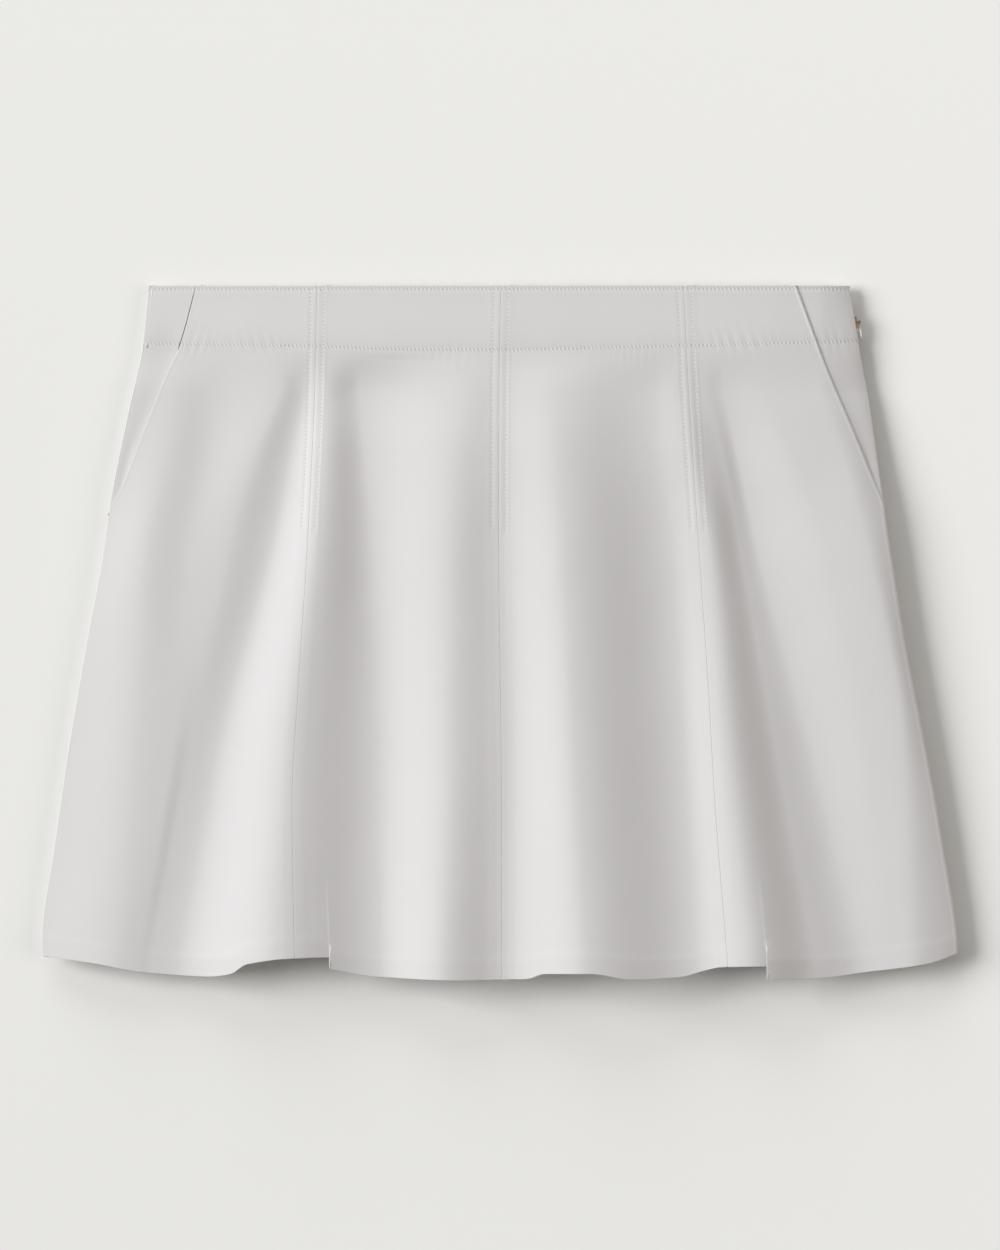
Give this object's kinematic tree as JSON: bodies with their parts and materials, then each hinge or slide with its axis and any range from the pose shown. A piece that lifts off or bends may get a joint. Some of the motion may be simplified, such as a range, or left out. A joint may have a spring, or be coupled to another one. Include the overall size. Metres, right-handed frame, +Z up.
{
  "type": "skort",
  "caption": "Flared sports skort with a faced waist, slant hip pieces, concealed side zip and inner shorts, laid flat with its front up.",
  "frame": {"origin": "on the surface the skort lies on, under the middle of its outline", "axes": "+X across the skort to the side with the zip, +Y from the hem to the waist, +Z up out of its front"},
  "size_m": [0.5344, 0.4054, 0.0314],
  "materials": {
    "shell": "off-white fine twill with a soft sheen",
    "inner_shorts": "off-white smooth knit",
    "zip_tape": "off-white woven tape",
    "zip_metal": "dull brass",
    "zip_pull": "off-white paint"
  },
  "bodies": {
    "skort": {"front_side_left": "shell", "front_center_left": "shell", "front_center_right": "shell", "front_side_right": "shell", "hip_left": "shell", "hip_right": "shell", "back_left": "shell", "back_right": "shell", "shorts_back_left": "inner_shorts", "shorts_back_right": "inner_shorts", "shorts_front_left": "inner_shorts", "shorts_front_right": "inner_shorts", "zip_tape": "zip_tape", "zip_slider": "zip_metal"},
    "pull": {"zip_pull": "zip_pull"}
  },
  "joints": [
    {"name": "zip_pull_swing", "type": "hinge", "parent": "skort", "child": "pull", "pos_m": [0.20969, 0.1807, 0.006], "axis": [0, 0, 1], "range_deg": [0, 160]}
  ]
}
